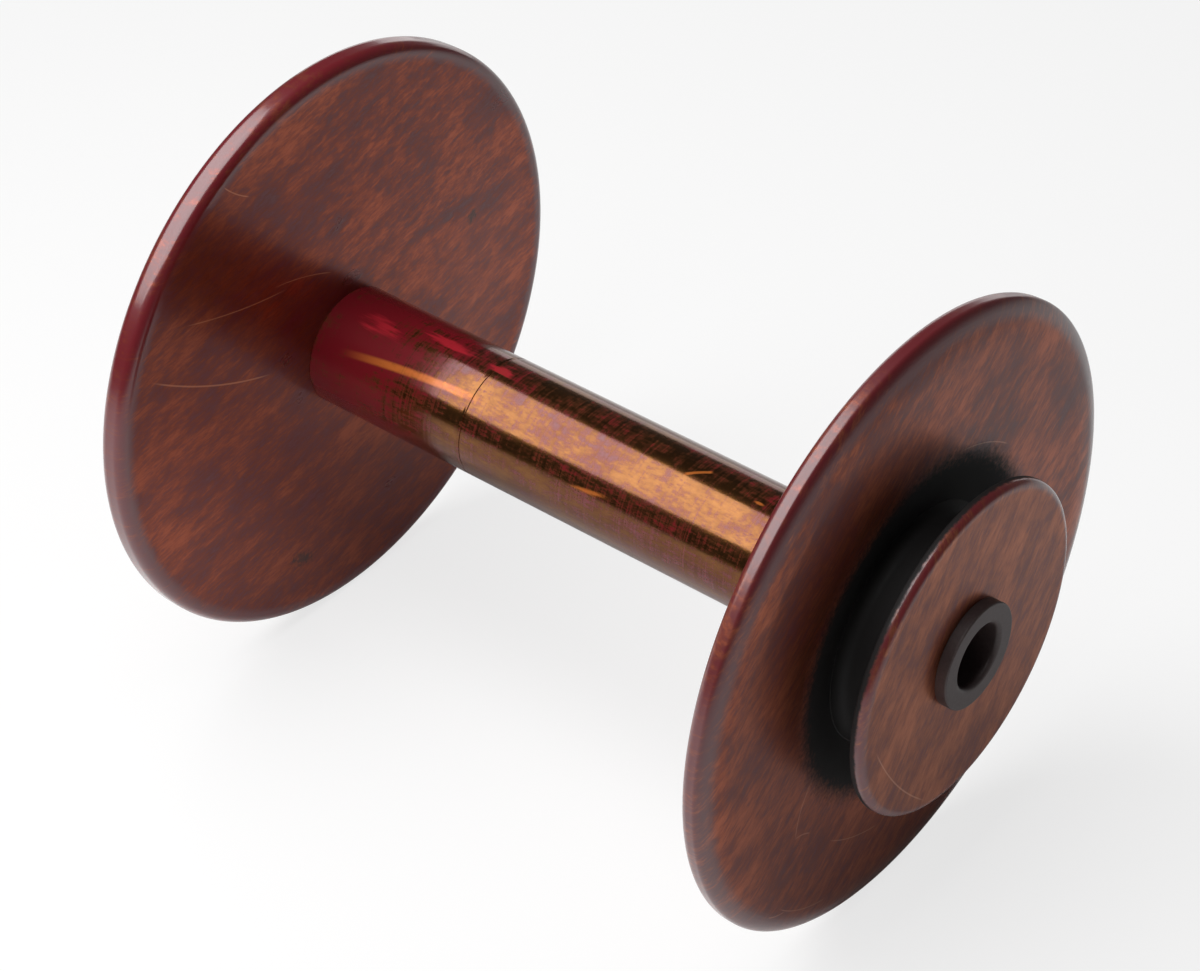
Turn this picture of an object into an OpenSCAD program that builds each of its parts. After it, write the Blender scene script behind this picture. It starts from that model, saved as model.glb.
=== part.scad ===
// Spinning wheel bobbin: a turned barrel between two flanges, a grooved drive whorl
// on one end, and a plain bush pressed into each end for the shaft that it turns on.
// Every piece is turned round one axis. The bobbin lies on its two rims, so the axis
// is level, with the whorl end towards -Y and the origin at the middle of the bobbin.

/* [Winding space] */
// Diameter of the barrel that the yarn winds on
barrel_d = 17.9; // [16.5:0.1:26]
// Length between the two rims, on their yarn sides
winding_len = 95.5; // [60:0.5:140]
// Distance from the plain flange to the fine line cut round the barrel
line_from_plain = 29; // [10:0.5:50]
// Width of the fine line cut round the barrel
line_w = 0.4; // [0.2:0.05:1]
// Depth of the fine line cut round the barrel
line_depth = 0.12; // [0.05:0.01:0.3]

/* [Flanges] */
// Diameter of both flanges
flange_d = 90; // [70:1:130]
// Thickness of the plain flange at its rim
plain_rim_t = 4.3; // [3.6:0.1:8]
// Thickness of the drive flange at its rim
drive_rim_t = 3.8; // [3.4:0.1:8]
// Rise of the yarn sides from the rim to the hub
yarn_side_rise = 1.2; // [0.2:0.1:3]
// Rise of the plain flange's outer side from the rim to the hub
plain_outer_rise = 1.6; // [0.2:0.1:4]
// Diameter of the flat at each hub that the barrel and the bush seat on
hub_flat_d = 22; // [19:0.5:40]
// Radius of the corners on the plain flange's rim
plain_corner_r = 1.5; // [0.4:0.1:1.8]
// Radius of the yarn side corner on the drive flange's rim
drive_corner_r = 1.3; // [0.4:0.1:1.6]
// How far the drive flange's outer side starts to round over, in from its rim
drive_round_w = 6.5; // [1:0.5:8]
// Height of that rounding over
drive_round_h = 1.7; // [0.4:0.1:1.8]

/* [Drive whorl] */
// Diameter of the whorl's end disc
whorl_d = 47.6; // [44:0.2:60]
// Thickness of the end disc at its edge
whorl_edge_t = 1.8; // [1.4:0.1:4]
// Radius of the end disc's front corner
whorl_corner_r = 1.1; // [0.3:0.1:1.2]
// How much thicker the end disc is at the foot of the groove than at its edge
whorl_back_rise = 0.9; // [0:0.1:1.2]
// Width of the band groove at its mouth
groove_w = 6.6; // [6.2:0.1:12]
// Diameter at the bottom of the band groove
groove_root_d = 31; // [22:0.5:34]
// Radius of the two hollows at the bottom of the groove
groove_hollow_r = 1.8; // [0.5:0.1:2.4]
// Diameter at which the drive flange rolls down into the groove
groove_lip_d = 50; // [45:0.5:60]
// How deep the groove is sunk into the drive flange
groove_sink = 1; // [0.2:0.1:1.6]

/* [Tenons] */
// Diameter of the tenon at each end of the barrel
tenon_d = 14.4; // [13.4:0.1:15]
// How far each tenon ends short of the face that its bush covers
tenon_short = 0.4; // [0.1:0.1:1]
// Glue gap round each tenon
glue_gap = 0.05; // [0.02:0.01:0.15]
// Chamfer on the end of each tenon
tenon_chamfer = 0.5; // [0.2:0.1:0.8]

/* [Bushes] */
// Bore of the bushes, a running fit on the shaft
bush_bore_d = 9.2; // [6.4:0.1:9.6]
// Diameter of the spigot that is pressed into the barrel
spigot_d = 11.2; // [10.8:0.1:12]
// Length of the spigot
spigot_len = 8; // [4:0.5:14]
// Diameter of the collar that shows outside
collar_d = 15.3; // [15:0.1:18]
// Thickness of the collar
collar_t = 1.7; // [1.2:0.1:3]
// Radius of the bore's rounded mouth
mouth_r = 0.7; // [0.2:0.1:0.8]
// Radius of the collar's outer corner
collar_corner_r = 0.25; // [0.1:0.05:0.5]
// Chamfer on the inner end of the spigot, inside and outside
spigot_chamfer = 0.3; // [0.1:0.1:0.4]
// Gap round the spigot
press_gap = 0.02; // [0.01:0.01:0.05]

/* [Hidden] */
$fn = 96;
ARC_STEPS = 10;
RISE_STEPS = 16;

tenon_hole_r = tenon_d / 2 + glue_gap;
barrel_bore_r = spigot_d / 2 + press_gap;
hub_flat_r = hub_flat_d / 2;

// Lengths outside the winding space, and the whole length that they add up to
plain_end_len = plain_rim_t + plain_outer_rise + collar_t;
drive_end_len = drive_rim_t + groove_w + whorl_edge_t + collar_t;
overall_len = plain_end_len + winding_len + drive_end_len;

// Places along the axis, measured from the middle towards the whorl end
plain_yarn_side = plain_end_len - overall_len / 2;
plain_hub_face = plain_yarn_side + yarn_side_rise;
plain_outer_face = plain_yarn_side - plain_rim_t - plain_outer_rise;
drive_yarn_side = plain_yarn_side + winding_len;
drive_hub_face = drive_yarn_side - yarn_side_rise;
drive_rim_face = drive_yarn_side + drive_rim_t;
whorl_seat = drive_rim_face - groove_sink;
whorl_face = drive_rim_face + groove_w + whorl_edge_t;

wood = [0.36, 0.16, 0.10];
dark_wood = [0.30, 0.13, 0.09];
black_plastic = [0.10, 0.09, 0.09];

// Points on an arc: a centre, two half-axes, and the angles where it starts and ends
function arc(centre, half_axes, from, to) =
    [for (i = [0:ARC_STEPS])
        let (a = from + (to - from) * i / ARC_STEPS)
        [centre[0] + half_axes[0] * cos(a), centre[1] + half_axes[1] * sin(a)]];

// Points on an easy curve between two points, level at both of its ends
function rise(from, to) =
    [for (i = [0:RISE_STEPS])
        let (x = i / RISE_STEPS)
        [from[0] + (to[0] - from[0]) * x,
         from[1] + (to[1] - from[1]) * (1 - cos(180 * x)) / 2]];

// Turns a profile of [radius, place along the axis] points round the bobbin's axis
module turned(profile) {
    rotate([90, 0, 0])
        rotate_extrude()
            polygon(profile);
}

// Barrel: shoulders that seat on the hubs, a tenon at each end, one bore right through
module barrel() {
    barrel_r = barrel_d / 2;
    tenon_r = tenon_d / 2;
    plain_tip = plain_outer_face + tenon_short;
    drive_tip = whorl_face - tenon_short;
    line_at = plain_yarn_side + line_from_plain;
    color(wood)
        turned([
            [barrel_bore_r, plain_tip],
            [tenon_r - tenon_chamfer, plain_tip],
            [tenon_r, plain_tip + tenon_chamfer],
            [tenon_r, plain_hub_face],
            [barrel_r, plain_hub_face],
            [barrel_r, line_at - line_w / 2],
            [barrel_r - line_depth, line_at],
            [barrel_r, line_at + line_w / 2],
            [barrel_r, drive_hub_face],
            [tenon_r, drive_hub_face],
            [tenon_r, drive_tip - tenon_chamfer],
            [tenon_r - tenon_chamfer, drive_tip],
            [barrel_bore_r, drive_tip]
        ]);
}

// Plain flange: a disc that swells on both sides from its rim to its hub
module plain_flange() {
    rim_r = flange_d / 2;
    corner_at = rim_r - plain_corner_r;
    rim_outer_face = plain_yarn_side - plain_rim_t;
    corner = [plain_corner_r, plain_corner_r];
    color(wood)
        turned(concat(
            [[tenon_hole_r, plain_hub_face]],
            rise([hub_flat_r, plain_hub_face], [corner_at, plain_yarn_side]),
            arc([corner_at, plain_yarn_side - plain_corner_r], corner, 90, 0),
            arc([corner_at, rim_outer_face + plain_corner_r], corner, 0, -90),
            rise([corner_at, rim_outer_face], [hub_flat_r, plain_outer_face]),
            [[tenon_hole_r, plain_outer_face]]
        ));
}

// Drive flange: its outer side rounds over widely at the rim, runs flat, and rolls
// down into the band groove to the sunk seat of the whorl
module drive_flange() {
    rim_r = flange_d / 2;
    corner_at = rim_r - drive_corner_r;
    round_at = rim_r - drive_round_w;
    whorl_foot_r = groove_root_d / 2 + groove_hollow_r;
    color(wood)
        turned(concat(
            [[tenon_hole_r, drive_hub_face]],
            rise([hub_flat_r, drive_hub_face], [corner_at, drive_yarn_side]),
            arc([corner_at, drive_yarn_side + drive_corner_r],
                [drive_corner_r, drive_corner_r], -90, 0),
            arc([round_at, drive_rim_face - drive_round_h],
                [drive_round_w, drive_round_h], 0, 90),
            rise([groove_lip_d / 2, drive_rim_face], [whorl_foot_r, whorl_seat]),
            [[tenon_hole_r, whorl_seat]]
        ));
}

// Drive whorl: a neck that is the bottom of the band groove, hollowed into its foot
// and into the back of the end disc
module drive_whorl() {
    disc_r = whorl_d / 2;
    root_r = groove_root_d / 2;
    hollow_at = root_r + groove_hollow_r;
    hollow = [groove_hollow_r, groove_hollow_r];
    edge_back = whorl_face - whorl_edge_t;
    disc_back = edge_back - whorl_back_rise;
    corner = [whorl_corner_r, whorl_corner_r];
    color(dark_wood)
        turned(concat(
            [[tenon_hole_r, whorl_seat]],
            arc([hollow_at, whorl_seat + groove_hollow_r], hollow, 270, 180),
            arc([hollow_at, disc_back - groove_hollow_r], hollow, 180, 90),
            [[disc_r, edge_back]],
            arc([disc_r - whorl_corner_r, whorl_face - whorl_corner_r], corner, 0, 90),
            [[tenon_hole_r, whorl_face]]
        ));
}

// Bush: a collar that seats on the wood at seat, facing the way that out says, and a
// spigot inside the barrel
module bush(seat, out) {
    bore_r = bush_bore_d / 2;
    collar_r = collar_d / 2;
    spigot_r = spigot_d / 2;
    face = collar_t;
    mouth = [mouth_r, mouth_r];
    corner = [collar_corner_r, collar_corner_r];
    profile = concat(
        [[bore_r, spigot_chamfer - spigot_len],
         [bore_r + spigot_chamfer, -spigot_len],
         [spigot_r - spigot_chamfer, -spigot_len],
         [spigot_r, spigot_chamfer - spigot_len],
         [spigot_r, 0],
         [collar_r, 0]],
        arc([collar_r - collar_corner_r, face - collar_corner_r], corner, 0, 90),
        arc([bore_r + mouth_r, face - mouth_r], mouth, 90, 180)
    );
    color(black_plastic)
        turned([for (p = profile) [p[0], seat + out * p[1]]]);
}

module plain_end_bush() { bush(plain_outer_face, -1); }
module drive_end_bush() { bush(whorl_face, 1); }

barrel();
plain_flange();
drive_flange();
drive_whorl();
plain_end_bush();
drive_end_bush();
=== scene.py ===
# %% [markdown]
# A spinning wheel bobbin, turned and lacquered
#
# The bobbin is a small wooden spool. Yarn winds on its barrel, between two flanges. A grooved
# whorl on one end takes the drive band, and a plain bush in each end runs on the flyer's shaft.
# Every piece of it was turned on a lathe, so one rule makes all the shapes here: draw half of
# the section, then spin it round the axis. The finish is what is hard, because a lacquered
# stain shows its colour in bands where it mirrors the room.

# %% Load the bobbin's frame
import math

import bmesh
import bpy
from mathutils import Matrix, Vector


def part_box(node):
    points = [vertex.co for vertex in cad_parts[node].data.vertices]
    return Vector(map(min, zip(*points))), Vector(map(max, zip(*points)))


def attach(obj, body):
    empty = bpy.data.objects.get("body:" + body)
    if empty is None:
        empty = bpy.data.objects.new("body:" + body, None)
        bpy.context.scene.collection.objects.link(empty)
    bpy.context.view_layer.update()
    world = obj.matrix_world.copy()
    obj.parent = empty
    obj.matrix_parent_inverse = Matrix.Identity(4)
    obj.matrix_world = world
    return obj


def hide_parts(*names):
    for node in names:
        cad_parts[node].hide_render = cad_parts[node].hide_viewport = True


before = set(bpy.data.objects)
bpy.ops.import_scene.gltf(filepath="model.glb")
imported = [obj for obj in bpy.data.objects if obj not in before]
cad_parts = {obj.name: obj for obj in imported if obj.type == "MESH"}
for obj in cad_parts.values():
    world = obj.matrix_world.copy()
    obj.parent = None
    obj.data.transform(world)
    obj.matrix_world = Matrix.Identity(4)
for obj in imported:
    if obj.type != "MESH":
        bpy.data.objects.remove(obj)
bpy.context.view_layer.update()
MM = 0.001  # the shapes below are drawn in millimetres, and Blender works in metres
print("nodes:", sorted(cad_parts))

# %% [markdown]
# The camera
#
# The two rims, the whorl's disc and the bush are circles round one axis. A circle seen aslant is
# an ellipse, and four of them on one axis fix where the camera stood and how long its lens was.
# The numbers below come from that. The camera looks at a point close to the middle of the
# barrel, from the left of the whorl end and well above.

# %% Place the camera
VIEW_AZIMUTH = math.radians(-51.16)
VIEW_ELEVATION = math.radians(38.59)
VIEW_DISTANCE = 448.4 * MM
VIEW_TARGET = Vector((-1.15, 2.89, -1.93)) * MM
LENS = 98.0


def direction(azimuth, elevation):
    """The unit vector from the bobbin towards a place round it, as the camera's angles are given."""
    level = math.cos(elevation)
    return Vector((math.sin(azimuth) * level, -math.cos(azimuth) * level, math.sin(elevation)))


def aim(thing, target):
    """Turns a camera or a lamp so that it looks at the target."""
    thing.rotation_euler = (target - thing.location).to_track_quat("-Z", "Y").to_euler()


camera_data = bpy.data.cameras.new("camera")
camera_data.sensor_width = 36
camera_data.lens = LENS
camera_data.clip_start = 0.01
camera = bpy.data.objects.new("camera", camera_data)
bpy.context.scene.collection.objects.link(camera)
camera.location = VIEW_TARGET + direction(VIEW_AZIMUTH, VIEW_ELEVATION) * VIEW_DISTANCE
aim(camera, VIEW_TARGET)
bpy.context.scene.camera = camera
print("camera at", [round(x / MM) for x in camera.location], "mm")

# %% [markdown]
# Half sections
#
# A turner works from a half section: the outline of the piece on one side of its axis. Each
# point here is (radius, place), and the place runs along the axis from the plain end to the
# whorl end, in millimetres from the middle of the bobbin. Two helpers draw the curves that a
# gouge leaves: an arc, and an easy rise that is level at both of its ends. The third one adds
# points along straight stretches, because gloss shows every place where the shading has to
# stretch over a wide face.

# %% Helpers that draw a section
ARC_STEPS = 14
RISE_STEPS = 24


def arc(centre, half_axes, start, end):
    """Points on an arc, from the start angle to the end angle in degrees."""
    angles = [math.radians(start + (end - start) * i / ARC_STEPS) for i in range(ARC_STEPS + 1)]
    return [(centre[0] + half_axes[0] * math.cos(a), centre[1] + half_axes[1] * math.sin(a)) for a in angles]


def rise(start, end):
    """Points on an easy curve that is level at both of its ends."""
    points = []
    for i in range(RISE_STEPS + 1):
        x = i / RISE_STEPS
        ease = (1 - math.cos(math.pi * x)) / 2
        points.append((start[0] + (end[0] - start[0]) * x, start[1] + (end[1] - start[1]) * ease))
    return points


def finer(points, longest):
    """The same closed outline with no stretch longer than a given length, and a point close to each corner."""
    close = 0.12
    out = []
    for a, b in zip(points, points[1:] + points[:1]):
        length = math.dist(a, b)
        out.append(a)
        if length > 4 * close:
            count = max(1, math.ceil((length - 2 * close) / longest))
            places = [close + (length - 2 * close) * i / count for i in range(count + 1)]
            out += [tuple(p + (q - p) * d / length for p, q in zip(a, b)) for d in places]
    return out


print("section helpers ready")

# %% [markdown]
# The lathe
#
# Screw and Spin would turn a section too, but a Geometry Nodes tree keeps the rule in one place
# for all the pieces. The tree takes the section as a row of points. It makes a flat grid, one
# column for each step round the axis and one row for each point, and then moves every grid point
# to its place: the row gives the radius and the place along the axis, and the column gives the
# angle. The first and last columns land on each other and are merged, so the piece is closed.

# %% Build the lathe as a node tree
def add(tree, kind, **settings):
    """Adds a node and sets its properties."""
    made = tree.nodes.new(kind)
    for name, value in settings.items():
        setattr(made, name, value)
    return made


def math_node(tree, operation, *inputs):
    """Adds a Math node whose inputs are sockets or numbers, and returns its result."""
    made = add(tree, "ShaderNodeMath", operation=operation)
    for socket, value in zip(made.inputs, inputs):
        if isinstance(value, bpy.types.NodeSocket):
            tree.links.new(value, socket)
        else:
            socket.default_value = value
    return made.outputs[0]


def build_lathe():
    tree = bpy.data.node_groups.new("lathe", "GeometryNodeTree")
    face = tree.interface
    face.new_socket("Section", in_out="INPUT", socket_type="NodeSocketGeometry")
    face.new_socket("Steps Around", in_out="INPUT", socket_type="NodeSocketInt")
    face.new_socket("Merge Distance", in_out="INPUT", socket_type="NodeSocketFloat")
    face.new_socket("Finish", in_out="INPUT", socket_type="NodeSocketMaterial")
    face.new_socket("Piece", in_out="OUTPUT", socket_type="NodeSocketGeometry")
    link = tree.links.new
    inputs = add(tree, "NodeGroupInput")
    size = add(tree, "GeometryNodeAttributeDomainSize")
    link(inputs.outputs["Section"], size.inputs["Geometry"])
    rows = size.outputs["Point Count"]
    columns = math_node(tree, "ADD", inputs.outputs["Steps Around"], 1)
    grid = add(tree, "GeometryNodeMeshGrid")
    link(columns, grid.inputs["Vertices X"])
    link(rows, grid.inputs["Vertices Y"])

    index = add(tree, "GeometryNodeInputIndex").outputs[0]
    column = math_node(tree, "FLOOR", math_node(tree, "DIVIDE", index, rows))
    row = math_node(tree, "SUBTRACT", index, math_node(tree, "MULTIPLY", column, rows))
    sample = add(tree, "GeometryNodeSampleIndex", data_type="FLOAT_VECTOR")
    link(inputs.outputs["Section"], sample.inputs["Geometry"])
    link(add(tree, "GeometryNodeInputPosition").outputs[0], sample.inputs["Value"])
    link(row, sample.inputs["Index"])
    point = add(tree, "ShaderNodeSeparateXYZ")
    link(sample.outputs[0], point.inputs[0])

    turn = math_node(tree, "DIVIDE", column, inputs.outputs["Steps Around"])
    angle = math_node(tree, "MULTIPLY", turn, math.tau)
    place = add(tree, "ShaderNodeCombineXYZ")
    link(math_node(tree, "MULTIPLY", point.outputs["X"], math_node(tree, "COSINE", angle)), place.inputs["X"])
    link(math_node(tree, "MULTIPLY", point.outputs["Y"], -1), place.inputs["Y"])
    link(math_node(tree, "MULTIPLY", point.outputs["X"], math_node(tree, "SINE", angle)), place.inputs["Z"])
    move = add(tree, "GeometryNodeSetPosition")
    link(grid.outputs["Mesh"], move.inputs["Geometry"])
    link(place.outputs[0], move.inputs["Position"])

    merge = add(tree, "GeometryNodeMergeByDistance")
    link(move.outputs[0], merge.inputs["Geometry"])
    link(inputs.outputs["Merge Distance"], merge.inputs["Distance"])
    smooth = add(tree, "GeometryNodeSetShadeSmooth")
    link(merge.outputs[0], smooth.inputs["Geometry"])
    real = add(tree, "GeometryNodeRealizeInstances")
    link(smooth.outputs[0], real.inputs["Geometry"])
    finish = add(tree, "GeometryNodeSetMaterial")
    link(real.outputs[0], finish.inputs["Geometry"])
    link(inputs.outputs["Finish"], finish.inputs["Material"])
    output = add(tree, "NodeGroupOutput")
    link(finish.outputs[0], output.inputs["Piece"])
    return tree


lathe = build_lathe()
print("lathe tree with", len(lathe.nodes), "nodes")

# %% [markdown]
# Turning a piece
#
# The section becomes a small mesh of points, the tree turns it, and the result is kept as a
# plain mesh. A modifier's inputs are set by the identifier of each socket. The faces are made to
# point outwards at the end.

# %% Turn a section into a piece
STEPS_AROUND = 288


def set_input(modifier, name, value):
    """Sets a Geometry Nodes modifier's input by its socket's identifier."""
    for item in modifier.node_group.interface.items_tree:
        if item.in_out == "INPUT" and item.name == name:
            modifier[item.identifier] = value


def turn(name, section, finish, longest=0.7, steps=STEPS_AROUND):
    """Turns a closed section, in millimetres, into a piece with its finish."""
    outline = finer(section, longest)
    outline.append(outline[0])
    data = bpy.data.meshes.new(name + "_section")
    data.from_pydata([(r * MM, place * MM, 0) for r, place in outline], [], [])
    blank = bpy.data.objects.new(name + "_section", data)
    bpy.context.scene.collection.objects.link(blank)
    modifier = blank.modifiers.new("lathe", "NODES")
    modifier.node_group = lathe
    set_input(modifier, "Steps Around", steps)
    set_input(modifier, "Merge Distance", 0.001 * MM)
    set_input(modifier, "Finish", finish)
    evaluated = blank.evaluated_get(bpy.context.evaluated_depsgraph_get())
    mesh = bpy.data.meshes.new_from_object(evaluated)
    bpy.data.objects.remove(blank)
    shell = bmesh.new()
    shell.from_mesh(mesh)
    bmesh.ops.recalc_face_normals(shell, faces=shell.faces)
    shell.to_mesh(mesh)
    shell.free()
    mesh.name = name
    piece = bpy.data.objects.new(name, mesh)
    bpy.context.scene.collection.objects.link(piece)
    print(name, "has", len(mesh.polygons), "faces")
    return piece


# %% [markdown]
# The lacquered wood
#
# Under the lacquer is maple with a crimson stain. Stained wood does not take its colour evenly.
# Between the fibres it is a deep red that swallows light, and along the fibres it shines back in
# gold, much as brushed metal does. A clear coat lies over both. So the base of this shader is a
# mix of two states, chosen by a fine pattern of fibres: a red that is not metallic, and a warm
# gold that is. Seen from further off, the two blend, and the share of gold decides how bright
# the wood gets where it mirrors a lamp or the table.

# %% Helpers for the finishes
def node(tree, kind, **settings):
    """Adds a shader node. A setting that is a socket's name sets or links that socket."""
    made = tree.nodes.new(kind)
    for name, value in settings.items():
        if hasattr(made, name):
            setattr(made, name, value)
            continue
        socket = made.inputs[name.replace("_", " ")]
        if isinstance(value, bpy.types.NodeSocket):
            tree.links.new(value, socket)
        else:
            socket.default_value = value
    return made


def new_material(name):
    """An empty material with its tree, its shader and its output."""
    material = bpy.data.materials.new(name)
    material.use_nodes = True
    tree = material.node_tree
    tree.nodes.clear()
    shader = tree.nodes.new("ShaderNodeBsdfPrincipled")
    output = tree.nodes.new("ShaderNodeOutputMaterial")
    tree.links.new(shader.outputs[0], output.inputs[0])
    return material, tree, shader


def ramp(tree, factor, stops):
    """A colour ramp: stops are (position, colour)."""
    made = tree.nodes.new("ShaderNodeValToRGB")
    tree.links.new(factor, made.inputs[0])
    while len(made.color_ramp.elements) < len(stops):
        made.color_ramp.elements.new(0.5)
    for element, (position, colour) in zip(made.color_ramp.elements, stops):
        element.position = position
        element.color = (*colour, 1)
    return made.outputs[0]


def mix(tree, factor, first, second):
    """A mix of two colours, each a socket or three numbers."""
    made = tree.nodes.new("ShaderNodeMix")
    made.data_type = "RGBA"
    for socket, value in zip((made.inputs[0], made.inputs[6], made.inputs[7]), (factor, first, second)):
        if isinstance(value, bpy.types.NodeSocket):
            tree.links.new(value, socket)
        elif isinstance(value, tuple):
            socket.default_value = (*value, 1)
        else:
            socket.default_value = value
    return made.outputs[2]


def between(tree, value, low, high):
    """0 below low and 1 above high, with a soft step between. It falls where low is above high."""
    made = node(tree, "ShaderNodeMapRange", interpolation_type="SMOOTHSTEP", Value=value)
    made.inputs["From Min"].default_value = low
    made.inputs["From Max"].default_value = high
    return made.outputs[0]


def noise(tree, vector, size, stretch=(1, 1, 1), detail=3.0, roughness=0.55, offset=(0, 0, 0), turn=(0, 0, 0)):
    """A noise whose spots are about size millimetres, stretched along the axes and then turned."""
    turned = node(tree, "ShaderNodeMapping", Vector=vector, Rotation=tuple(math.radians(a) for a in turn))
    mapped = node(tree, "ShaderNodeMapping", Vector=turned.outputs[0])
    mapped.inputs["Scale"].default_value = tuple(1 / s for s in stretch)
    mapped.inputs["Location"].default_value = offset
    made = node(tree, "ShaderNodeTexNoise", Vector=mapped.outputs[0], Scale=1 / (size * MM))
    made.inputs["Detail"].default_value = detail
    made.inputs["Roughness"].default_value = roughness
    return made.outputs[0]


def centred(tree, value, gain):
    """A noise as a swing about zero."""
    return math_node(tree, "MULTIPLY", math_node(tree, "SUBTRACT", value, 0.5), gain)


# %% [markdown]
# Marks on the wood
#
# A few marks make this a used bobbin: dark knots, pale scratches, fine cracks, and red flecks where
# the stain lies thick. Two marks on the barrel are painted light, not wear: a red patch and a long
# orange streak that paint the plain flange's reflection. Each is a small mask on the surface, in
# millimetres. A scratch is a piece of a circle, because a stroke of the hand is never quite
# straight. A spot is an ellipse with a ragged edge.

# %% Helpers for the marks
def hypot(tree, a, b):
    """The length of a pair of sockets or numbers."""
    return math_node(tree, "SQRT", math_node(tree, "ADD", math_node(tree, "MULTIPLY", a, a), math_node(tree, "MULTIPLY", b, b)))


def scratch(tree, across, up, start, end, bow, width, soft_ends=0.15):
    """A mask along an arc from start to end. bow is how far its middle stands off the straight line."""
    length = math.dist(start, end)
    run = ((end[0] - start[0]) / length, (end[1] - start[1]) / length)
    turn_r = (length * length / 4 + bow * bow) / (2 * abs(bow))
    side = math.copysign(turn_r - abs(bow), bow)
    middle = ((start[0] + end[0]) / 2, (start[1] + end[1]) / 2)
    centre = (middle[0] + run[1] * side, middle[1] - run[0] * side)
    off_x = math_node(tree, "SUBTRACT", across, centre[0])
    off_y = math_node(tree, "SUBTRACT", up, centre[1])
    off = math_node(tree, "ABSOLUTE", math_node(tree, "SUBTRACT", hypot(tree, off_x, off_y), turn_r))
    line = between(tree, off, width / 2, width / 6)
    from_start = math_node(tree, "ADD", math_node(tree, "MULTIPLY", math_node(tree, "SUBTRACT", across, start[0]), run[0]),
                           math_node(tree, "MULTIPLY", math_node(tree, "SUBTRACT", up, start[1]), run[1]))
    begins = between(tree, from_start, 0.0, length * soft_ends)
    ends = between(tree, from_start, length, length * (1 - soft_ends))
    return math_node(tree, "MULTIPLY", line, math_node(tree, "MULTIPLY", begins, ends))


def spot(tree, across, up, centre, radii, angle=0.0, edge=0.5, ragged=None):
    """A mask for an ellipse. A noise given as ragged breaks its edge."""
    c, s = math.cos(math.radians(angle)), math.sin(math.radians(angle))
    dx = math_node(tree, "SUBTRACT", across, centre[0])
    dy = math_node(tree, "SUBTRACT", up, centre[1])
    along = math_node(tree, "ADD", math_node(tree, "MULTIPLY", dx, c / radii[0]), math_node(tree, "MULTIPLY", dy, s / radii[0]))
    side = math_node(tree, "SUBTRACT", math_node(tree, "MULTIPLY", dy, c / radii[1]), math_node(tree, "MULTIPLY", dx, s / radii[1]))
    reach = hypot(tree, along, side)
    if ragged is not None:
        reach = math_node(tree, "ADD", reach, centred(tree, ragged, 2.4))
    return between(tree, reach, 1.0, 1.0 - edge)


def strongest(tree, masks):
    """The largest of several masks."""
    top = masks[0]
    for mask in masks[1:]:
        top = math_node(tree, "MAXIMUM", top, mask)
    return top


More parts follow.
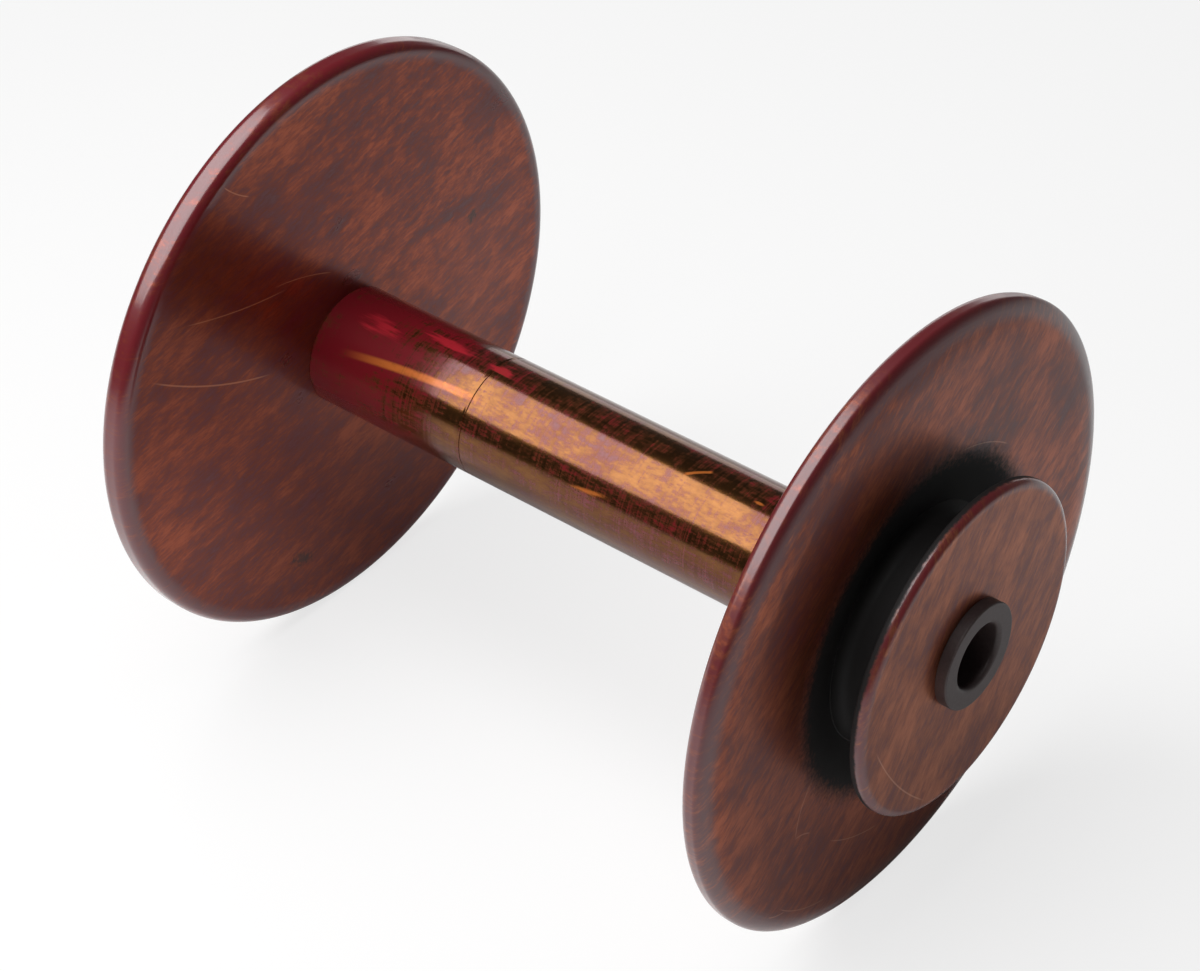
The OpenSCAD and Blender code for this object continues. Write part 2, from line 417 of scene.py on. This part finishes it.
# %% Make lacquered wood
class Wood:
    """Stained maple under lacquer, with the marks that one piece carries."""

    def __init__(self, name, seed, grain_turn):
        self.material, self.tree, self.shader = new_material(name)
        tree = self.tree
        self.place = tree.nodes.new("ShaderNodeTexCoord").outputs["Object"]
        split = node(tree, "ShaderNodeSeparateXYZ", Vector=self.place)
        self.x, self.y, self.z = (math_node(tree, "DIVIDE", split.outputs[i], MM) for i in range(3))
        self.radius = hypot(tree, self.x, self.z)
        shift = (seed, seed * 1.7, seed * 0.6)
        turned = {"offset": shift, "turn": (0, grain_turn, 0)}
        self.clouds = noise(tree, self.place, 9, detail=3.0, stretch=(1.5, 1.5, 1), **turned)
        self.curl = noise(tree, self.place, 1.7, detail=3.0, stretch=(3.5, 3.5, 1), **turned)
        self.fibre = noise(tree, self.place, 0.4, detail=2.0, roughness=0.7, stretch=(4, 4, 1), **turned)
        self.specks = noise(tree, self.place, 0.8, detail=3.0, roughness=0.7, offset=shift)

    def stain(self, share, gold, crimson, shifts=()):
        """Lays crimson and gold. share is how much shines; shifts are masks with what they add to it."""
        tree = self.tree
        level = math_node(tree, "ADD", centred(tree, self.clouds, 1.1), share)
        level = math_node(tree, "ADD", level, centred(tree, self.curl, 0.9))
        level = math_node(tree, "ADD", level, centred(tree, self.fibre, 1.6))
        for mask, change in shifts:
            level = math_node(tree, "ADD", level, math_node(tree, "MULTIPLY", mask, change))
        self.shine = between(tree, level, 0.0, 1.0)
        figure = math_node(tree, "ADD", centred(tree, self.clouds, 1.5), centred(tree, self.curl, 1.3))
        figure = math_node(tree, "ADD", figure, centred(tree, self.fibre, 1.0))
        dark = tuple(c * k for c, k in zip(gold, (0.45, 0.32, 0.30)))
        light = tuple(c * k for c, k in zip(gold, (1.45, 1.60, 1.65)))
        figured = mix(tree, math_node(tree, "ADD", figure, 0.5), dark, light)
        self.colour = mix(tree, self.shine, crimson, figured)
        self.metal = math_node(tree, "MULTIPLY", self.shine, 0.97)

    def mark(self, mask, colour, metal):
        """Lays a colour over the stain where a mask is."""
        tree = self.tree
        self.colour = mix(tree, mask, self.colour, colour)
        change = math_node(tree, "MULTIPLY", math_node(tree, "SUBTRACT", metal, self.metal), mask)
        self.metal = math_node(tree, "ADD", self.metal, change)

    def finish(self, gloss, coat, coat_gloss, bump=0.12, heights=()):
        """Joins everything to the shader. gloss and coat may be numbers or sockets."""
        tree, shader = self.tree, self.shader
        tree.links.new(self.colour, shader.inputs["Base Color"])
        tree.links.new(self.metal, shader.inputs["Metallic"])
        for value, name in ((gloss, "Roughness"), (coat, "Coat Weight")):
            if isinstance(value, bpy.types.NodeSocket):
                tree.links.new(value, shader.inputs[name])
            else:
                shader.inputs[name].default_value = value
        height = math_node(tree, "ADD", self.fibre, math_node(tree, "MULTIPLY", self.curl, 1.5))
        for mask, change in heights:
            height = math_node(tree, "ADD", height, math_node(tree, "MULTIPLY", mask, change))
        relief = node(tree, "ShaderNodeBump", Height=height, Strength=bump)
        relief.inputs["Distance"].default_value = 0.05 * MM
        tree.links.new(relief.outputs[0], shader.inputs["Normal"])
        shader.inputs["Coat Roughness"].default_value = coat_gloss
        return self.material


print("wood ready")

# %% [markdown]
# The barrel's finish
#
# The barrel was polished while it spun, so fine rings run round it. Towards the plain flange the
# wood is made redder and less shiny: a painted reflection of the flange's red face and of the
# shade beside it. Places on the barrel are given along the axis and round it.

# %% Finish the barrel
def barrel_wood():
    wood = Wood("barrel_wood", 3.1, 0)
    tree = wood.tree
    angle = math_node(tree, "ARCTAN2", math_node(tree, "MULTIPLY", wood.x, -1), wood.z)
    around = math_node(tree, "MULTIPLY", angle, 8.95)
    rings = noise(tree, wood.place, 0.45, stretch=(60, 1, 60), detail=3.0, roughness=0.8)
    streaks = noise(tree, wood.place, 0.9, stretch=(1, 9, 1), detail=3.0, roughness=0.6)
    # Painted reflection and shade: near the plain flange the gold share drops, so the barrel shows the flange's red
    # face and its shade in its own colour.
    painted_flange_reflection = between(tree, wood.y, 22.0, 46.0)
    shifts = [(painted_flange_reflection, -0.75), (centred(tree, rings, 1.0), 1.5), (centred(tree, streaks, 1.0), 0.9)]
    wood.stain(0.72, (0.135, 0.050, 0.014), (0.15, 0.007, 0.012), shifts)
    # Red flecks in the stain at 20.5 and 30 mm. The larger red patch at 40 mm is a painted reflection of the lit plain
    # flange.
    flecks_and_flange_reflection = strongest(tree, [
        spot(tree, wood.y, around, (30.0, 0.2), (4.6, 1.1), 0, 0.6, streaks),
        spot(tree, wood.y, around, (20.5, 0.4), (2.0, 0.9), 0, 0.6, streaks),
        spot(tree, wood.y, around, (40.0, 2.6), (4.5, 1.6), 0, 0.7, streaks),
    ])
    wood.mark(math_node(tree, "MULTIPLY", flecks_and_flange_reflection, 0.8), (0.42, 0.018, 0.030), 0.1)
    # Pale wear marks, and one painted highlight: the long orange streak from 45.5 to 19 mm paints the reflection of the
    # plain flange's lit rim.
    wear_and_painted_streak = strongest(tree, [
        scratch(tree, wood.y, around, (45.5, 8.7), (19.0, 6.1), 0.5, 1.5, 0.4),
        scratch(tree, wood.y, around, (-12.4, 2.7), (-15.8, 0.1), 0.1, 0.7),
        spot(tree, wood.y, around, (-24.2, 1.5), (1.0, 0.35), 0, 0.6),
        spot(tree, wood.y, around, (-1.5, 10.6), (4.0, 0.5), 4, 0.8, streaks),
    ])
    wood.mark(math_node(tree, "MULTIPLY", wear_and_painted_streak, 0.75), (0.72, 0.20, 0.035), 0.35)
    gloss = math_node(tree, "ADD", 0.16, centred(tree, rings, 0.12))
    return wood.finish(gloss, 0.25, 0.08, 0.15, [(rings, 1.2)])


barrel_finish = barrel_wood()

# %% [markdown]
# The flanges' finish
#
# Each flange and the whorl were cut from boards, so their faces show clouds and short ripples of
# figured maple. The lacquer ran thicker at the rims, and it shines more there.

# %% Finish the plain flange
FLANGE_R = 45.0


def plain_flange_wood():
    wood = Wood("flange_wood", 7.7, 12)
    tree = wood.tree
    at_rim = between(tree, wood.radius, FLANGE_R - 3.0, FLANGE_R - 1.2)
    wood.stain(0.62, (0.25, 0.056, 0.027), (0.13, 0.006, 0.011), [(at_rim, -0.5)])
    knots = strongest(tree, [
        spot(tree, wood.x, wood.z, (27.7, 7.3), (1.7, 1.3), 20, 0.8, wood.specks),
        spot(tree, wood.x, wood.z, (-12.0, -32.9), (3.0, 1.5), -25, 0.8, wood.specks),
    ])
    wood.mark(math_node(tree, "MULTIPLY", knots, 0.75), (0.018, 0.006, 0.005), 0.3)
    scratches = strongest(tree, [
        scratch(tree, wood.x, wood.z, (-38.0, 14.6), (-16.0, 4.0), -1.2, 0.35),
        scratch(tree, wood.x, wood.z, (-31.0, 20.0), (-12.0, 16.2), -0.6, 0.25),
        scratch(tree, wood.x, wood.z, (-14.5, 17.6), (-3.0, 14.2), 0.5, 0.22),
        scratch(tree, wood.x, wood.z, (-21.5, 37.5), (-16.8, 33.6), -0.3, 0.25),
    ])
    wood.mark(math_node(tree, "MULTIPLY", scratches, 0.55), (0.60, 0.22, 0.10), 0.3)
    coat = math_node(tree, "ADD", 0.18, math_node(tree, "MULTIPLY", at_rim, 0.7))
    gloss = math_node(tree, "ADD", 0.30, centred(tree, wood.clouds, 0.15))
    return wood.finish(gloss, coat, 0.12)


plain_finish = plain_flange_wood()

# %% Finish the drive flange
def drive_flange_wood():
    wood = Wood("drive_flange_wood", 1.9, 38)
    tree = wood.tree
    at_rim = between(tree, wood.radius, FLANGE_R - 3.5, FLANGE_R - 1.2)
    wood.stain(0.68, (0.28, 0.070, 0.033), (0.11, 0.006, 0.010), [(at_rim, -0.55)])
    cracks = strongest(tree, [
        scratch(tree, wood.x, wood.z, (-21.6, -11.5), (-24.8, -20.0), -0.8, 0.3),
        scratch(tree, wood.x, wood.z, (-25.0, -19.7), (-21.5, -21.2), 0.3, 0.3),
        scratch(tree, wood.x, wood.z, (-27.7, -30.3), (-16.5, -37.0), -1.0, 0.25),
        scratch(tree, wood.x, wood.z, (-17.0, -26.0), (-5.0, -32.0), -0.8, 0.25),
    ])
    wood.mark(math_node(tree, "MULTIPLY", cracks, 0.5), (0.50, 0.20, 0.11), 0.3)
    # The outer face goes near-black inside about 24.5 mm, down into the groove, with a ragged edge, and loses its coat
    # there.
    inside_groove_lip = between(tree, math_node(tree, "ADD", wood.radius, centred(tree, wood.specks, 5.0)), 26.5, 22.5)
    outside = between(tree, wood.y, -45.5, -46.5)
    groove_black = math_node(tree, "MULTIPLY", inside_groove_lip, outside)
    wood.mark(groove_black, (0.006, 0.004, 0.004), 0.0)
    coat = math_node(tree, "ADD", 0.15, math_node(tree, "MULTIPLY", at_rim, 0.75))
    coat = math_node(tree, "MULTIPLY", coat, math_node(tree, "SUBTRACT", 1.0, groove_black))
    gloss = math_node(tree, "ADD", 0.40, math_node(tree, "MULTIPLY", groove_black, 0.4))
    return wood.finish(gloss, coat, 0.2)


drive_finish = drive_flange_wood()

# %% Finish the drive whorl
WHORL_R = 23.8


def whorl_wood():
    wood = Wood("whorl_wood", 5.3, 55)
    tree = wood.tree
    at_edge = between(tree, wood.radius, WHORL_R - 1.6, WHORL_R - 0.4)
    wood.stain(0.80, (0.30, 0.088, 0.040), (0.14, 0.010, 0.014), [(at_edge, -0.6)])
    marks = strongest(tree, [
        scratch(tree, wood.x, wood.z, (-20.4, -2.6), (-7.5, -20.8), -1.2, 0.3),
    ])
    wood.mark(math_node(tree, "MULTIPLY", marks, 0.5), (0.60, 0.28, 0.16), 0.3)
    # The disc goes near-black behind its front corner, over its edge and down the neck, with a ragged edge, and loses
    # most of its coat there.
    behind = between(tree, math_node(tree, "ADD", wood.y, centred(tree, wood.specks, 0.8)), -56.1, -55.6)
    wood.mark(behind, (0.006, 0.004, 0.004), 0.0)
    coat = math_node(tree, "ADD", 0.18, math_node(tree, "MULTIPLY", at_edge, 0.8))
    coat = math_node(tree, "MULTIPLY", coat, math_node(tree, "SUBTRACT", 1.0, math_node(tree, "MULTIPLY", behind, 0.9)))
    gloss = math_node(tree, "ADD", 0.40, math_node(tree, "MULTIPLY", behind, 0.35))
    return wood.finish(gloss, coat, 0.14)


whorl_finish = whorl_wood()
print("finishes:", [m.name for m in bpy.data.materials])

# %% [markdown]
# The bush plastic
#
# The bushes are plain black plastic, turned or moulded, in a dark grey-brown with a fine mottle
# and a matt finish.

# %% Make the bush plastic
def bush_plastic():
    material, tree, shader = new_material("bush_plastic")
    coordinates = tree.nodes.new("ShaderNodeTexCoord").outputs["Object"]
    grain = node(tree, "ShaderNodeTexNoise", Vector=coordinates, Scale=2500.0, Detail=3.0)
    colour = ramp(tree, grain.outputs[0], [(0.3, (0.050, 0.032, 0.032)), (0.7, (0.066, 0.045, 0.044))])
    tree.links.new(colour, shader.inputs["Base Color"])
    shader.inputs["Roughness"].default_value = 0.45
    return material


plastic = bush_plastic()

# %% [markdown]
# Where everything sits
#
# The frame says where each piece is. A piece that lies on +Y in the frame has a negative place
# here, because places run towards the whorl end.

# %% Read the places from the frame
def span(name):
    """The two places of a node, from its plain end to its whorl end, in millimetres."""
    low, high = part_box(name)
    return -high.y / MM, -low.y / MM


def radius(name):
    """A node's outer radius in millimetres."""
    low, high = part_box(name)
    return (high.x - low.x) / 2 / MM


plain_outer, plain_hub = span("plain_flange")
drive_hub, drive_rim = span("drive_flange")
whorl_seat, whorl_face = span("drive_whorl")
barrel_start, barrel_end = span("barrel")
flange_r = radius("plain_flange")
whorl_r = radius("drive_whorl")
barrel_r = radius("barrel")
collar_r = radius("drive_end_bush")
print("hub faces at", round(plain_hub, 2), round(drive_hub, 2), "whorl face at", round(whorl_face, 2))

# %% [markdown]
# The barrel
#
# The barrel is one stick of wood, bored right through, with a tenon at each end that is glued
# into the hub. A fine line was cut round it near the plain end.

# %% Turn the barrel
TENON_R = 7.2
BARREL_BORE_R = 5.62
LINE_FROM_HUB = 27.8
LINE_W = 0.4
LINE_DEPTH = 0.12


def barrel_section():
    line = plain_hub + LINE_FROM_HUB
    return [
        (BARREL_BORE_R, barrel_start),
        (TENON_R, barrel_start),
        (TENON_R, plain_hub),
        (barrel_r, plain_hub),
        (barrel_r, line - LINE_W / 2),
        (barrel_r - LINE_DEPTH, line),
        (barrel_r, line + LINE_W / 2),
        (barrel_r, drive_hub),
        (TENON_R, drive_hub),
        (TENON_R, barrel_end),
        (BARREL_BORE_R, barrel_end),
    ]


barrel = turn("bobbin_barrel", barrel_section(), barrel_finish)

# %% [markdown]
# The plain flange
#
# The flange is thickest at its hub and falls away to the rim in a long easy curve on both
# sides. Its rim has a rounded corner on each side and a narrow flat crown between them.

# %% Turn the plain flange
TENON_HOLE_R = 7.25
HUB_FLAT_R = 11.0
YARN_SIDE_RISE = 1.2
PLAIN_RIM_T = 4.3
PLAIN_CORNER_R = 1.5


def plain_flange_section():
    yarn_side = plain_hub - YARN_SIDE_RISE
    outer_side = yarn_side - PLAIN_RIM_T
    corner_at = flange_r - PLAIN_CORNER_R
    corner = (PLAIN_CORNER_R, PLAIN_CORNER_R)
    section = [(TENON_HOLE_R, plain_hub)]
    section += rise((HUB_FLAT_R, plain_hub), (corner_at, yarn_side))
    section += arc((corner_at, yarn_side - PLAIN_CORNER_R), corner, 90, 0)[1:]
    section += arc((corner_at, outer_side + PLAIN_CORNER_R), corner, 0, -90)
    section += rise((corner_at, outer_side), (HUB_FLAT_R, plain_outer))[1:]
    section.append((TENON_HOLE_R, plain_outer))
    return section


plain_flange = turn("bobbin_plain_flange", plain_flange_section(), plain_finish)

# %% [markdown]
# The drive flange
#
# The yarn side matches the other flange. The outer side rounds over widely at the rim, runs
# flat, and then rolls down into the groove that takes the drive band.

# %% Turn the drive flange
DRIVE_CORNER_R = 1.3
DRIVE_ROUND_W = 6.5
DRIVE_ROUND_H = 1.7
GROOVE_LIP_R = 25.0
GROOVE_ROOT_R = 15.5
GROOVE_HOLLOW_R = 1.8


def drive_flange_section():
    yarn_side = drive_hub + YARN_SIDE_RISE
    corner_at = flange_r - DRIVE_CORNER_R
    round_at = flange_r - DRIVE_ROUND_W
    foot_r = GROOVE_ROOT_R + GROOVE_HOLLOW_R
    section = [(TENON_HOLE_R, drive_hub)]
    section += rise((HUB_FLAT_R, drive_hub), (corner_at, yarn_side))
    section += arc((corner_at, yarn_side + DRIVE_CORNER_R), (DRIVE_CORNER_R, DRIVE_CORNER_R), -90, 0)[1:]
    section += arc((round_at, drive_rim - DRIVE_ROUND_H), (DRIVE_ROUND_W, DRIVE_ROUND_H), 0, 90)
    section += rise((GROOVE_LIP_R, drive_rim), (foot_r, whorl_seat))
    section.append((TENON_HOLE_R, whorl_seat))
    return section


drive_flange = turn("bobbin_drive_flange", drive_flange_section(), drive_finish)

# %% [markdown]
# The drive whorl
#
# The whorl is a short neck and a thin disc in one piece. The neck is the bottom of the groove,
# and a small hollow leads into each side of it.

# %% Turn the drive whorl
WHORL_EDGE_T = 1.8
WHORL_CORNER_R = 1.1
WHORL_BACK_RISE = 0.9
WHORL_BACK_CORNER_R = 0.25


def drive_whorl_section():
    hollow_at = GROOVE_ROOT_R + GROOVE_HOLLOW_R
    hollow = (GROOVE_HOLLOW_R, GROOVE_HOLLOW_R)
    edge_back = whorl_face - WHORL_EDGE_T
    disc_back = edge_back - WHORL_BACK_RISE
    back_corner = (WHORL_BACK_CORNER_R, WHORL_BACK_CORNER_R)
    corner = (WHORL_CORNER_R, WHORL_CORNER_R)
    section = [(TENON_HOLE_R, whorl_seat)]
    section += arc((hollow_at, whorl_seat + GROOVE_HOLLOW_R), hollow, 270, 180)
    section += arc((hollow_at, disc_back - GROOVE_HOLLOW_R), hollow, 180, 90)
    section += arc((whorl_r - WHORL_BACK_CORNER_R, edge_back + WHORL_BACK_CORNER_R), back_corner, -90, 0)
    section += arc((whorl_r - WHORL_CORNER_R, whorl_face - WHORL_CORNER_R), corner, 0, 90)
    section.append((TENON_HOLE_R, whorl_face))
    return section


drive_whorl = turn("bobbin_drive_whorl", drive_whorl_section(), whorl_finish)

# %% [markdown]
# The bushes
#
# Each bush is a spigot with a collar. The spigot is pressed into the barrel, and the collar
# seats on the wood. Its bore has a rounded mouth, so that the shaft finds its way in.

# %% Turn the two bushes
BUSH_BORE_R = 4.6
SPIGOT_R = 5.6
SPIGOT_LEN = 8.0
COLLAR_CORNER_R = 0.25
MOUTH_R = 0.7
COLLAR_T = 1.7


def bush_section(seat, out):
    """A bush whose collar seats at a place. out is 1 towards the whorl end and -1 towards the plain end."""
    corner = (COLLAR_CORNER_R, COLLAR_CORNER_R)
    mouth = (MOUTH_R, MOUTH_R)
    outline = [(BUSH_BORE_R, -SPIGOT_LEN), (SPIGOT_R, -SPIGOT_LEN), (SPIGOT_R, 0.0), (collar_r, 0.0)]
    outline += arc((collar_r - COLLAR_CORNER_R, COLLAR_T - COLLAR_CORNER_R), corner, 0, 90)
    outline += arc((BUSH_BORE_R + MOUTH_R, COLLAR_T - MOUTH_R), mouth, 90, 180)
    return [(r, seat + out * place) for r, place in outline]


drive_bush = turn("bobbin_drive_end_bush", bush_section(whorl_face, 1), plastic, 0.4)
plain_bush = turn("bobbin_plain_end_bush", bush_section(plain_outer, -1), plastic, 0.4)

# %% [markdown]
# Put the pieces on the frame
#
# The bobbin is one rigid body: nothing on it moves until it is on a flyer. Each turned piece
# stands for its CAD node.

# %% Ride and replace
PIECES = [
    (barrel, "barrel", "barrel_wood"),
    (plain_flange, "plain_flange", "flange_wood"),
    (drive_flange, "drive_flange", "flange_wood"),
    (drive_whorl, "drive_whorl", "whorl_wood"),
    (drive_bush, "drive_end_bush", "bush_plastic"),
    (plain_bush, "plain_end_bush", "bush_plastic"),
]
for piece, cad_node, slot in PIECES:
    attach(piece, "root")
    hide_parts(cad_node)
print(len(PIECES), "pieces on the frame")

# %% [markdown]
# The floor and the lamps
#
# The bobbin lies on a white table. Lacquer is a mirror, so what the table and the lamps look
# like in it matters more than how much they light. A large soft lamp high behind the bobbin
# draws the gold band along the barrel, and the white table draws the lower one.

# %% Make the floor
def floor_material():
    material = bpy.data.materials.new("white_table")
    material.use_nodes = True
    tree = material.node_tree
    tree.nodes.clear()
    matt = node(tree, "ShaderNodeBsdfDiffuse", Color=(0.9, 0.9, 0.9, 1))
    glow = node(tree, "ShaderNodeEmission", Color=(1, 1, 1, 1), Strength=1.0)
    path = tree.nodes.new("ShaderNodeLightPath")
    share = math_node(tree, "MULTIPLY", path.outputs["Is Camera Ray"], 0.75)
    mixed = node(tree, "ShaderNodeMixShader")
    tree.links.new(share, mixed.inputs[0])
    tree.links.new(matt.outputs[0], mixed.inputs[1])
    tree.links.new(glow.outputs[0], mixed.inputs[2])
    output = tree.nodes.new("ShaderNodeOutputMaterial")
    tree.links.new(mixed.outputs[0], output.inputs[0])
    return material


def card(name, centre, size, material, target=None):
    """A flat square card, level unless it faces a target."""
    half = size / 2
    data = bpy.data.meshes.new(name)
    corners = [(-half, -half, 0), (half, -half, 0), (half, half, 0), (-half, half, 0)]
    data.from_pydata(corners, [], [(0, 1, 2, 3)])
    made = bpy.data.objects.new(name, data)
    bpy.context.scene.collection.objects.link(made)
    made.data.materials.append(material)
    made.location = centre
    if target is not None:
        aim(made, target)
    return made


table = card("table", Vector((0, 0, -flange_r * MM)), 6.0, floor_material())

# %% Light the bobbin
def softbox(name, centre, along, size, power, target=(0, 0, 0)):
    """A rectangular soft lamp. Its long side runs along a direction, and it faces the target."""
    data = bpy.data.lights.new(name, "AREA")
    data.shape = "RECTANGLE"
    data.size, data.size_y = size[0] * MM, size[1] * MM
    data.energy = power
    lamp = bpy.data.objects.new(name, data)
    bpy.context.scene.collection.objects.link(lamp)
    away = (Vector(centre) - Vector(target)).normalized()
    side = Vector(along).normalized()
    across = away.cross(side).normalized()
    side = across.cross(away)
    lamp.location = Vector(centre) * MM
    lamp.rotation_euler = Matrix((side, across, away)).transposed().to_euler()
    return lamp


softbox("key_lamp", (-171, 79, 384), (-0.913, 0, -0.407), (462, 530), 3.2, (-22, -186, 51))
softbox("right_card", (390, 225, 30), (0.5, -0.87, 0), (500, 120), 0.2)

world = bpy.data.worlds.new("studio")
bpy.context.scene.world = world
world.use_nodes = True
world_tree = world.node_tree
world_tree.nodes.clear()
background = node(world_tree, "ShaderNodeBackground", Color=(1, 1, 1, 1), Strength=0.07)
world_output = world_tree.nodes.new("ShaderNodeOutputWorld")
world_tree.links.new(background.outputs[0], world_output.inputs[0])
bpy.context.scene.view_settings.view_transform = "Standard"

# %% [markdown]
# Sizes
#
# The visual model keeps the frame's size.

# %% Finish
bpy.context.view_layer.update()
